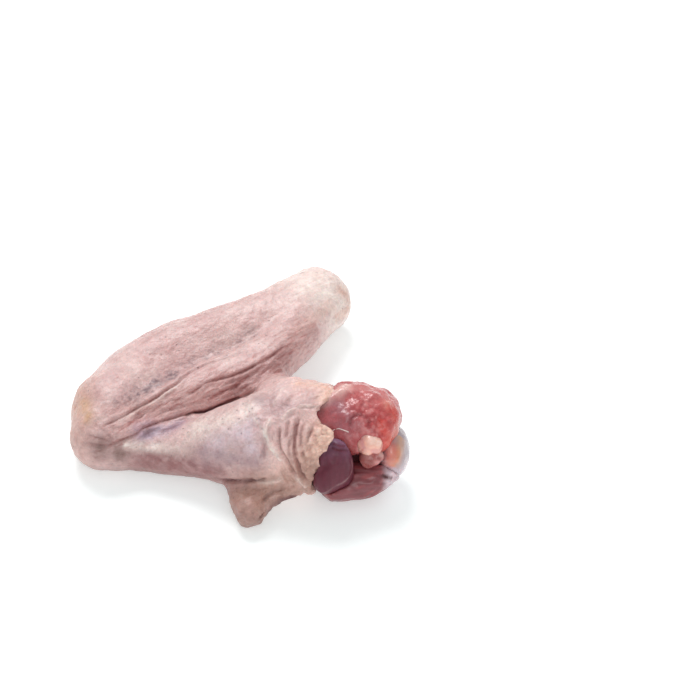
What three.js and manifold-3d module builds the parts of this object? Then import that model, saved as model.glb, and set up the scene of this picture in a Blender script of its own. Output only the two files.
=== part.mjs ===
// A raw duck wing of two joints, folded at the elbow and lying flat. The upper arm runs along +X
// from the elbow to the cut shoulder, where the muscles and the head of the humerus stand out of
// the skin. The forearm runs back from the elbow, its front edge over the web of skin between
// the two. Millimetres, +Z up. The finished group stands on z = 0 with its box centred on x = y = 0.
import * as THREE from "three";
import { mergeVertices } from "three/addons/utils/BufferGeometryUtils.js";
import Module from "manifold-3d";

const wasm = await Module();
wasm.setup();

// Driving dimensions. A station gives a point of a limb's centre line, its half width across
// and its half thickness.
const UPPER_ARM = [
  { at: [-48, -30, 9.2], wide: 9, thick: 9.5 },
  { at: [-33, -34, 7.8], wide: 7.6, thick: 8.2 },
  { at: [-19, -36, 9.2], wide: 9, thick: 9.6 },
  { at: [-7, -37, 12.4], wide: 12.4, thick: 12.8 },
  { at: [5.5, -38, 15.8], wide: 15.4, thick: 16.2 },
  { at: [18, -38, 17.6], wide: 17.4, thick: 18 },
  { at: [28, -39.6, 18], wide: 18, thick: 18.4 },
  { at: [40, -41.4, 18], wide: 18, thick: 18.4 },
];
const ELBOW = [
  { at: [-47.6, -28, 10.8], wide: 11.4, thick: 11.2 },
  { at: [-48.4, -20, 11.2], wide: 12.4, thick: 11.6 },
];
const FOREARM_FAR = [
  { at: [-47, -16, 11.8], wide: 11.6, thick: 12.2 },
  { at: [-40, -2, 12], wide: 11.8, thick: 12.4 },
  { at: [-26, 9.4, 12.4], wide: 12, thick: 12.8 },
  { at: [-9, 18, 12.8], wide: 12, thick: 13 },
  { at: [5, 27, 12.8], wide: 10.8, thick: 12.4 },
  { at: [17, 38.6, 11.2], wide: 9.6, thick: 11.2 },
  { at: [24.3, 45.5, 10.4], wide: 8.4, thick: 10.2 },
];
const FOREARM_NEAR = [
  { at: [-44, -25, 11.2], wide: 8.6, thick: 10.4 },
  { at: [-32.4, -17.4, 12.2], wide: 9.8, thick: 10 },
  { at: [-14.8, -10, 13.4], wide: 10.6, thick: 10 },
  { at: [4.4, 0.4, 14.4], wide: 10.2, thick: 10 },
  { at: [17.2, 16.6, 14.2], wide: 9.2, thick: 10 },
  { at: [25.4, 32, 13], wide: 8.8, thick: 10 },
  { at: [31.4, 43, 11.4], wide: 8.2, thick: 9.6 },
];
const WEB = [
  { at: [-40, -29, 7], wide: 8, thick: 6 },
  { at: [-20, -24, 7.5], wide: 10, thick: 5.5 },
  { at: [0, -18, 8], wide: 14, thick: 5.5 },
  { at: [12, -13, 8], wide: 14, thick: 4.5 },
];
const SHOULDER_FOLD = [
  { at: [24, -31, 24], wide: 9, thick: 9 },
  { at: [15.5, -19.5, 19], wide: 8, thick: 7.4 },
  { at: [9, -9, 12], wide: 8, thick: 6 },
];
const FLAP = [
  { at: [7, -46, 8], wide: 14.4, thick: 5 },
  { at: [4.5, -55, 6], wide: 9, thick: 4.6 },
  { at: [4, -63.4, 5.4], wide: 5.6, thick: 5.4 },
];
const FLAP_FOLD = [
  { at: [6, -54, 7], wide: 5, thick: 3.4 },
  { at: [16, -54, 8.5], wide: 5, thick: 3.4 },
  { at: [24, -51, 10], wide: 6, thick: 4 },
];
const GROOVES = [
  { line: [[-46, -24], [-38, -19], [-24, -8], [-10, 1], [6, 12], [17, 26]], deep: 1.3, wide: 3.2 },
  { line: [[-30, -18], [-12, -7], [6, 1], [16, 11]], deep: 0.7, wide: 2.4 },
];
const GROOVE_FLOOR = 12; // grooves mark the wing above this height
const GROOVE_ENDS = 0.2; // share of a groove's length over which each end fades out
const ARM_AXIS = { y: -41, z: 19 }; // middle of the upper arm at the cut shoulder
// Rings of loose skin at the shoulder, leaning with the cut.
const SLEEVE_FOLDS = { from: 0, to: 30, lean: 0.12, count: 3, deep: 0.7 };
const SKIN_END = { x: 29.5, lean: 0.14, wave: 1.3 }; // where the skin is cut off round the shoulder
const SKIN_THICK = 2; // least skin left round the meat
const BULGE = { before: 0.5, slope: 1.6 }; // the meat swells outward from just inside the skin's end

const UPPER_MUSCLE = [
  { at: [-14, -37, 12], wide: 4.5, thick: 4.5 },
  { at: [2, -37.5, 18], wide: 8, thick: 8 },
  { at: [18, -36, 23], wide: 12, thick: 9.4 },
  { at: [31, -35.5, 24], wide: 14, thick: 10.4 },
  { at: [41, -35, 23.6], wide: 14.4, thick: 11 },
  { at: [48.6, -35.4, 22.4], wide: 12.4, thick: 10.4 },
];
const DARK_MUSCLE = [
  { at: [6, -46, 15], wide: 4, thick: 6 },
  { at: [17, -50, 17], wide: 5, thick: 9.6 },
  { at: [28, -52.4, 17.6], wide: 6.6, thick: 12 },
  { at: [34.6, -51.6, 18.2], wide: 6, thick: 10.6 },
];
const LOWER_MUSCLE = [
  { at: [8, -44, 6.4], wide: 5, thick: 4.4 },
  { at: [20, -46, 6.8], wide: 6, thick: 5 },
  { at: [32, -49.6, 7.4], wide: 7.4, thick: 6.2 },
  { at: [44, -48.8, 8.4], wide: 7.2, thick: 6.2 },
  { at: [52, -45.6, 10], wide: 5, thick: 5 },
];
const BACK_MUSCLE = [
  { at: [16, -36, 5.8], wide: 5, thick: 4.2 },
  { at: [32, -37.6, 6], wide: 7, thick: 5 },
  { at: [48, -41.4, 5.6], wide: 6, thick: 4.8 },
];
const HUMERUS = [
  { at: [-36, -34.5, 8.4], wide: 3.4, thick: 3.4 },
  { at: [-8, -37.5, 12], wide: 3.4, thick: 3.4 },
  { at: [28, -40, 13.4], wide: 4, thick: 4 },
  { at: [46, -40.6, 13.6], wide: 6.6, thick: 7 },
  { at: [54.2, -41, 14], wide: 8.8, thick: 9.2 },
];
const LUMPS = {
  cream_fat: [
    { at: [44.4, -47.6, 24], wide: 3.2, thick: 3.2 },
    { at: [46.6, -47.8, 23.6], wide: 3, thick: 2.8 },
  ],
  pink_fat: [
    { at: [44.6, -49, 18.4], wide: 2.8, thick: 2.6 },
    { at: [47.2, -48.8, 18.8], wide: 2.6, thick: 2.4 },
  ],
};
const LUMPINESS = { deep: 0.9, waves: [0.62, 0.7, 0.6], shifts: [1, 0.4, 0] }; // of the red muscle
const GAP = 0.4; // between meats that touch
const SKIN_GAP = 0.6; // between the skin and the meats
// How far a limb's end swells past its last station, as a share of its lesser half width.
const END = { arm: 1, forearm: 0.6, soft: 0.8, muscle: 0.7, lump: 1 };
// Over how many millimetres forms run into each other.
const BLEND = { forearm: 13, elbow: 8, sleeve: 8, web: 5, flap: 3, meats: 3, swell: 2 };
const CREASE = { from: -50, to: -30, wide: 10, narrow: 5 }; // the same, from the elbow along the fold
// Grids of the surfaces, and the rooms that they fill.
const SKIN_STEP = 3.5;
const MEAT_STEP = 3;
const LUMP_STEP = 2;
const WING_ROOM = { low: [-75, -85, -10], high: [75, 75, 50] };
const ARM_ROOM = { low: [-48, -75, -10], high: [72, -12, 46] };
const CUT_ROOM = { low: [0, -80, -10], size: [60, 66, 60], step: 3 };
const FLOOR = { wide: 300, deep: 20 };
// How the surfaces' meshes are evened out: shares of the way to the neighbours' middle and of a
// grid step, and the millimetres over which a slope is measured.
const EVENING = { rounds: 3, share: 0.5, reach: 0.3, probe: 0.3 };

const COLOURS = {
  skin: 0xe3c3b6,
  upper_muscle: 0xb5544f,
  dark_muscle: 0x6e3947,
  lower_muscle: 0x96505a,
  back_muscle: 0x5f3a44,
  humerus: 0xc9c6d0,
  cream_fat: 0xe8bfa6,
  pink_fat: 0xcf8f84,
};

// Samples a limb's stations into short spans, each with its own section's axes.
function spansOf(stations, perStation = 5) {
  const line = new THREE.CatmullRomCurve3(stations.map((s) => new THREE.Vector3(...s.at)));
  const sizes = new THREE.CatmullRomCurve3(stations.map((s) => new THREE.Vector3(s.wide, s.thick, 0)));
  const count = (stations.length - 1) * perStation;
  const up = new THREE.Vector3(0, 0, 1);
  return Array.from({ length: count + 1 }, (_, i) => {
    const t = i / count;
    const along = line.getTangent(t);
    const size = sizes.getPoint(t);
    const far = up.clone().cross(along).normalize();
    return { at: line.getPoint(t), far, top: along.clone().cross(far), wide: size.x, thick: size.y };
  });
}

const mix = THREE.MathUtils.lerp;
const dot = (v, x, y, z) => v.x * x + v.y * y + v.z * z;

// The field of a limb: below zero inside, and near a distance in millimetres close to the surface.
function limb(stations, end = END.soft) {
  const spans = spansOf(stations);
  return (x, y, z) => {
    let least = Infinity;
    for (let i = 1; i < spans.length; i++) {
      const a = spans[i - 1];
      const b = spans[i];
      const ex = b.at.x - a.at.x;
      const ey = b.at.y - a.at.y;
      const ez = b.at.z - a.at.z;
      const long = Math.hypot(ex, ey, ez);
      const share = ((x - a.at.x) * ex + (y - a.at.y) * ey + (z - a.at.z) * ez) / (long * long);
      const t = Math.min(1, Math.max(0, share));
      const dx = x - a.at.x - t * ex;
      const dy = y - a.at.y - t * ey;
      const dz = z - a.at.z - t * ez;
      const wide = mix(a.wide, b.wide, t);
      const thick = mix(a.thick, b.thick, t);
      const slim = Math.min(wide, thick);
      const across = mix(dot(a.far, dx, dy, dz), dot(b.far, dx, dy, dz), t);
      const above = mix(dot(a.top, dx, dy, dz), dot(b.top, dx, dy, dz), t);
      const beyond = (share - t) * long;
      const q = Math.hypot(across / wide, above / thick, beyond / (end * slim));
      least = Math.min(least, (q - 1) * slim);
    }
    return least;
  };
}

// A smooth union of field values, over a width of k millimetres.
function blend(k, ...values) {
  return values.reduce((a, b) => {
    const h = Math.max(k - Math.abs(a - b), 0) / k;
    return Math.min(a, b) - (h * h * k) / 4;
  });
}

// How far a plan point lies from a line of plan points, and how far along the line it is.
function awayFrom(line, x, y) {
  let away = Infinity;
  let along = 0;
  for (let i = 1; i < line.length; i++) {
    const [ax, ay] = line[i - 1];
    const [bx, by] = line[i];
    const long = (bx - ax) ** 2 + (by - ay) ** 2;
    const t = THREE.MathUtils.clamp(((x - ax) * (bx - ax) + (y - ay) * (by - ay)) / long, 0, 1);
    const d = Math.hypot(x - ax - t * (bx - ax), y - ay - t * (by - ay));
    if (d < away) {
      away = d;
      along = (i - 1 + t) / (line.length - 1);
    }
  }
  return [away, along];
}

// The corners of a grid cell, and its crossing edges joined into loops for each pattern of corners
// inside the surface. An edge's number is 4 x its axis + its place across the other two axes.
const CORNERS = [0, 1, 2, 3, 4, 5, 6, 7].map((c) => [c & 1, (c >> 1) & 1, c >> 2]);
const EDGES = Array.from({ length: 12 }, (_, e) => {
  const axis = e >> 2;
  const a = ((e & 1) << ((axis + 1) % 3)) | (((e >> 1) & 1) << ((axis + 2) % 3));
  return [a, a | (1 << axis)];
});
const FACES = [0, 1, 2].flatMap((axis) =>
  [0, 1].map((side) => {
    const s = 1 << ((axis + 1) % 3);
    const t = 1 << ((axis + 2) % 3);
    return [0, s, s | t, t].map((c) => c | (side << axis));
  }),
);
const edgeBetween = (a, b) => EDGES.findIndex((e) => e.includes(a) && e.includes(b));

function loopsOf(pattern) {
  const inside = (c) => (pattern >> c) & 1;
  const group = Array.from({ length: 12 }, (_, e) => e);
  const join = (e, f) => {
    const [keep, drop] = [group[e], group[f]];
    for (let i = 0; i < 12; i++) if (group[i] === drop) group[i] = keep;
  };
  for (const face of FACES) {
    const sides = face.map((c, i) => [c, face[(i + 1) % 4]]);
    const crossed = sides.filter(([a, b]) => inside(a) !== inside(b)).map(([a, b]) => edgeBetween(a, b));
    if (crossed.length === 2) join(...crossed);
    if (crossed.length < 4) continue;
    face.forEach((c, i) => {
      if (inside(c)) join(edgeBetween(c, face[(i + 3) % 4]), edgeBetween(c, face[(i + 1) % 4]));
    });
  }
  const loops = new Map();
  EDGES.forEach(([a, b], e) => {
    if (inside(a) === inside(b)) return;
    if (!loops.has(group[e])) loops.set(group[e], []);
    loops.get(group[e]).push(e);
  });
  return [...loops.values()];
}
const LOOPS = Array.from({ length: 256 }, (_, pattern) => loopsOf(pattern));

// Turns a field into a closed mesh with one vertex for each sheet of the surface in a grid cell.
function meshOf(field, { low, high }, step) {
  const [nx, ny, nz] = low.map((l, i) => Math.ceil((high[i] - l) / step) + 1);
  const at = (i, j, k) => i + nx * (j + ny * k);
  const values = new Float64Array(nx * ny * nz);
  for (let k = 0; k < nz; k++)
    for (let j = 0; j < ny; j++)
      for (let i = 0; i < nx; i++)
        values[at(i, j, k)] = field(low[0] + i * step, low[1] + j * step, low[2] + k * step);

  const vertexOf = new Map();
  const points = [];
  for (let k = 0; k < nz - 1; k++)
    for (let j = 0; j < ny - 1; j++)
      for (let i = 0; i < nx - 1; i++) {
        const v = CORNERS.map(([a, b, c]) => values[at(i + a, j + b, k + c)]);
        const pattern = v.reduce((sum, value, c) => sum | ((value < 0 ? 1 : 0) << c), 0);
        for (const loop of LOOPS[pattern]) {
          const sum = [0, 0, 0];
          for (const e of loop) {
            const [a, b] = EDGES[e];
            const t = v[a] / (v[a] - v[b]);
            for (let d = 0; d < 3; d++) sum[d] += mix(CORNERS[a][d], CORNERS[b][d], t);
            vertexOf.set(at(i, j, k) * 12 + e, points.length);
          }
          points.push([i, j, k].map((n, d) => low[d] + (n + sum[d] / loop.length) * step));
        }
      }

  const strides = [1, nx, nx * ny];
  const quads = [];
  for (let k = 1; k < nz - 1; k++)
    for (let j = 1; j < ny - 1; j++)
      for (let i = 1; i < nx - 1; i++) {
        const here = at(i, j, k);
        for (let d = 0; d < 3; d++) {
          const inside = values[here] < 0;
          if (inside === values[here + strides[d]] < 0) continue;
          const s = strides[(d + 1) % 3];
          const t = strides[(d + 2) % 3];
          const quad = [[s + t, 3], [t, 2], [0, 0], [s, 1]].map(([back, place]) =>
            vertexOf.get((here - back) * 12 + 4 * d + place),
          );
          quads.push(inside ? quad : quad.reverse());
        }
      }
  relax(field, points, quads, step);
  const geometry = new THREE.BufferGeometry();
  geometry.setAttribute("position", new THREE.Float32BufferAttribute(points.flat(), 3));
  geometry.setIndex(quads.flatMap((quad) => closerSplit(field, quad, points)));
  return geometry;
}

// Evens out the mesh: each point moves part of the way to the middle of its neighbours, then back
// onto the surface.
function relax(field, points, quads, step) {
  const neighbours = points.map(() => new Set());
  for (const quad of quads)
    quad.forEach((p, i) => {
      neighbours[p].add(quad[(i + 1) % 4]);
      neighbours[p].add(quad[(i + 3) % 4]);
    });
  for (let round = 0; round < EVENING.rounds; round++) {
    const moved = points.map((point, p) => {
      const near = [...neighbours[p]].map((n) => points[n]);
      const middle = [0, 1, 2].map((d) => near.reduce((sum, n) => sum + n[d], 0) / near.length);
      return settled(field, point.map((c, d) => mix(c, middle[d], EVENING.share)), step);
    });
    moved.forEach((point, p) => (points[p] = point));
  }
}

// Moves a point onto the field's surface by a short step along its slope.
function settled(field, [x, y, z], step) {
  const h = EVENING.probe;
  const slope = [
    (field(x + h, y, z) - field(x - h, y, z)) / (2 * h),
    (field(x, y + h, z) - field(x, y - h, z)) / (2 * h),
    (field(x, y, z + h) - field(x, y, z - h)) / (2 * h),
  ];
  const steep = slope[0] ** 2 + slope[1] ** 2 + slope[2] ** 2;
  const limit = (EVENING.reach * step) / Math.sqrt(steep);
  const move = THREE.MathUtils.clamp(field(x, y, z) / steep, -limit, limit);
  return [x - move * slope[0], y - move * slope[1], z - move * slope[2]];
}

// Splits a quad into two triangles along the diagonal that lies closer to the surface.
function closerSplit(field, [a, b, c, d], points) {
  const off = (p, q) => Math.abs(field(...[0, 1, 2].map((n) => 0.5 * (points[p][n] + points[q][n]))));
  return off(a, c) < off(b, d) ? [a, b, c, a, c, d] : [b, c, d, b, d, a];
}

// A three.js geometry as a solid that can be joined and cut, and back.
function solidOf(geometry) {
  const bare = geometry.clone();
  bare.deleteAttribute("normal");
  bare.deleteAttribute("uv");
  const merged = bare.index && geometry.type === "BufferGeometry" ? bare : mergeVertices(bare, 1e-4);
  return new wasm.Manifold(
    new wasm.Mesh({
      numProp: 3,
      vertProperties: new Float32Array(merged.attributes.position.array),
      triVerts: new Uint32Array(merged.index.array),
    }),
  );
}

function geometryOf(solid) {
  const { vertProperties, triVerts } = solid.getMesh();
  const geometry = new THREE.BufferGeometry();
  geometry.setAttribute("position", new THREE.BufferAttribute(vertProperties, 3));
  geometry.setIndex(new THREE.BufferAttribute(triVerts, 1));
  return geometry;
}

// The largest body of a solid, without loose scraps.
function mainBody(solid) {
  return solid.decompose().sort((a, b) => b.volume() - a.volume())[0];
}

// The skin-covered wing: soft at the elbow and web, creased where the forearm lies over the web.
const arm = limb(UPPER_ARM, END.arm);
const elbow = limb(ELBOW, END.arm);
const farLobe = limb(FOREARM_FAR, END.forearm);
const nearLobe = limb(FOREARM_NEAR, END.forearm);
const web = limb(WEB);
const shoulderFold = limb(SHOULDER_FOLD);
const flap = limb(FLAP);
const flapFold = limb(FLAP_FOLD);

function grooveDepth(x, y, z) {
  return GROOVES.reduce((sum, { line, deep, wide }) => {
    const [away, along] = awayFrom(line, x, y);
    const fade = Math.min(1, along / GROOVE_ENDS, (1 - along) / GROOVE_ENDS);
    return z > GROOVE_FLOOR ? sum + deep * fade * Math.exp(-((away / wide) ** 2)) : sum;
  }, 0);
}

function sleeveFolds(x, y, z) {
  const { from, to, lean, count, deep } = SLEEVE_FOLDS;
  const t = THREE.MathUtils.clamp((x + lean * (z - ARM_AXIS.z) - from) / (to - from), 0, 1);
  return deep * Math.sin(Math.PI * t) * Math.sin(2 * Math.PI * count * t);
}

function wingBody(x, y, z) {
  const forearm = blend(BLEND.forearm, farLobe(x, y, z), nearLobe(x, y, z)) + grooveDepth(x, y, z);
  const sleeve = blend(BLEND.sleeve, arm(x, y, z) + sleeveFolds(x, y, z), shoulderFold(x, y, z));
  const under = blend(BLEND.flap, flap(x, y, z), flapFold(x, y, z));
  const bent = blend(BLEND.elbow, forearm, elbow(x, y, z));
  const { from, to, wide, narrow } = CREASE;
  const crease = mix(wide, narrow, THREE.MathUtils.clamp((x - from) / (to - from), 0, 1));
  return blend(BLEND.flap, blend(crease, blend(BLEND.web, sleeve, web(x, y, z)), bent), under);
}

// How far along X the skin reaches round the shoulder. Its edge waves in and out.
function skinEnd(y, z) {
  const around = Math.atan2(z - ARM_AXIS.z, y - ARM_AXIS.y);
  const wave = SKIN_END.wave * (Math.sin(3 * around + 0.6) + 0.5 * Math.sin(7 * around));
  return SKIN_END.x + SKIN_END.lean * (z - ARM_AXIS.z) + wave;
}

// The space beyond the skin's end.
function cutAway() {
  const { low, size, step } = CUT_ROOM;
  const geometry = new THREE.BoxGeometry(...size, 1, size[1] / step, size[2] / step);
  geometry.translate(...low.map((l, d) => l + size[d] / 2));
  const place = geometry.attributes.position;
  for (let i = 0; i < place.count; i++) {
    if (place.getX(i) < size[0] / 2) place.setX(i, skinEnd(place.getY(i), place.getZ(i)));
  }
  return solidOf(geometry);
}

// The lumpy face of the cut muscle.
function lumpy(field) {
  const { deep, waves, shifts } = LUMPINESS;
  const wave = (c, d) => Math.sin(waves[d] * c + shifts[d]);
  return (x, y, z) => field(x, y, z) + deep * wave(x, 0) * wave(y, 1) * wave(z, 2);
}

// Keeps a field inside the skin's sleeve, which it may leave past the cut.
function sleeved(field, inset) {
  return (x, y, z) => {
    const swell = BULGE.slope * Math.max(0, x - skinEnd(y, z) + BULGE.before);
    return -blend(BLEND.swell, -field(x, y, z), -(arm(x, y, z) + inset - swell));
  };
}

const slab = new THREE.BoxGeometry(FLOOR.wide, FLOOR.wide, FLOOR.deep).translate(0, 0, -FLOOR.deep / 2);
const floor = solidOf(slab);
const grown = (field, by) => (x, y, z) => field(x, y, z) - by;

// Bone, fat and muscles, each cut clear of those before it.
const meats = {
  humerus: { field: limb(HUMERUS, END.forearm), step: MEAT_STEP },
  cream_fat: { field: limb(LUMPS.cream_fat, END.lump), step: LUMP_STEP },
  pink_fat: { field: limb(LUMPS.pink_fat, END.lump), step: LUMP_STEP },
  upper_muscle: { field: lumpy(limb(UPPER_MUSCLE, END.muscle)), step: MEAT_STEP },
  dark_muscle: { field: limb(DARK_MUSCLE), step: MEAT_STEP },
  lower_muscle: { field: limb(LOWER_MUSCLE), step: MEAT_STEP },
  back_muscle: { field: limb(BACK_MUSCLE), step: MEAT_STEP },
};

const solids = {};
const rooms = [];
for (const [name, { field, step }] of Object.entries(meats)) {
  const piece = sleeved(field, SKIN_THICK + SKIN_GAP);
  const whole = solidOf(meshOf(piece, ARM_ROOM, step)).subtract(floor);
  solids[name] = mainBody(rooms.reduce((rest, room) => rest.subtract(room), whole));
  rooms.push(solidOf(meshOf(grown(piece, GAP), ARM_ROOM, step)));
}
const allMeat = (x, y, z) => blend(BLEND.meats, ...Object.values(meats).map(({ field }) => field(x, y, z)));
const pocket = solidOf(meshOf(sleeved(grown(allMeat, SKIN_GAP), SKIN_THICK), ARM_ROOM, MEAT_STEP));
const wholeSkin = solidOf(meshOf(wingBody, WING_ROOM, SKIN_STEP));
solids.skin = mainBody(wholeSkin.subtract(floor).subtract(cutAway()).subtract(pocket));

const wing = new THREE.Group();
for (const [name, solid] of Object.entries(solids)) {
  const material = new THREE.MeshStandardMaterial({ color: COLOURS[name], roughness: 0.5 });
  const mesh = new THREE.Mesh(geometryOf(solid), material);
  mesh.name = name;
  wing.add(mesh);
}
const box = new THREE.Box3().setFromObject(wing);
const middle = box.getCenter(new THREE.Vector3());
for (const mesh of wing.children) mesh.geometry.translate(-middle.x, -middle.y, -box.min.z);

export default wing;
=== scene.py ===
"""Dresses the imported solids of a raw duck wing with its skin, meat, fat and bone."""

import math

import bpy
import numpy as np
from bpy.props import FloatProperty, FloatVectorProperty, PointerProperty
from bpy.types import Operator, Panel, PropertyGroup
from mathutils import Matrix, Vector
from mathutils.bvhtree import BVHTree


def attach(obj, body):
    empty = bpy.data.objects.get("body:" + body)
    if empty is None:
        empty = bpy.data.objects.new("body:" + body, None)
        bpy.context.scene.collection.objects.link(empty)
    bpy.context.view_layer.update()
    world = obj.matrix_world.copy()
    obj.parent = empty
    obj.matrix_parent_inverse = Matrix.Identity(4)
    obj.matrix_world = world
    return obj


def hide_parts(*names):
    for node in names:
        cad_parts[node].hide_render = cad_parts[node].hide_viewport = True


bl_info = {
    "name": "Duck wing",
    "version": (1, 0, 0),
    "blender": (4, 5, 0),
    "location": "3D View > Sidebar > Duck wing",
    "description": "Lays skin, meat, fat and bone over the packed solids of a raw duck wing",
    "category": "Object",
}

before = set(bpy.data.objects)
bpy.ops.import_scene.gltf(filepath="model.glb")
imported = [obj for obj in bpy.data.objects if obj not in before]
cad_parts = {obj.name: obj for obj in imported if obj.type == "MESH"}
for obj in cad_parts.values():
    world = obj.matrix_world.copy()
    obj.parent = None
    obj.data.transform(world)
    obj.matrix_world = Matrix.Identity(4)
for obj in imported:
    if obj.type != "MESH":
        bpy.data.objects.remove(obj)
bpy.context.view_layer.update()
MM = 0.001

# The camera stands where the photo was taken from and looks at a point on the floor. Its lens and sensor
# are in millimetres, its distance and places in metres.
PHOTO = {"pixels": 700, "lens": 116.54, "sensor": 36, "rise": math.radians(42), "distance": 0.85}
LOOKED_AT = Vector((0.0392, 0.0343, 0))
EYE = LOOKED_AT + PHOTO["distance"] * Vector((0, -math.cos(PHOTO["rise"]), math.sin(PHOTO["rise"])))

# A pixel is cast from the camera onto a piece. One that misses the piece takes its point nearest to the ray,
# which is looked for at these distances from the camera, in metres.
RAY_STEPS = np.arange(0.74, 0.94, 0.004)
# A mark is cast at steps of so many pixels. Points further than MARK_REACH millimetres from it count as FAR.
MARK_STEP = 1.5
MARK_REACH = 22
FAR = 1000.0
# No point goes lower than this, in millimetres, so the relief stays above the table.
FLOOR_GAP = 0.02

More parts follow.
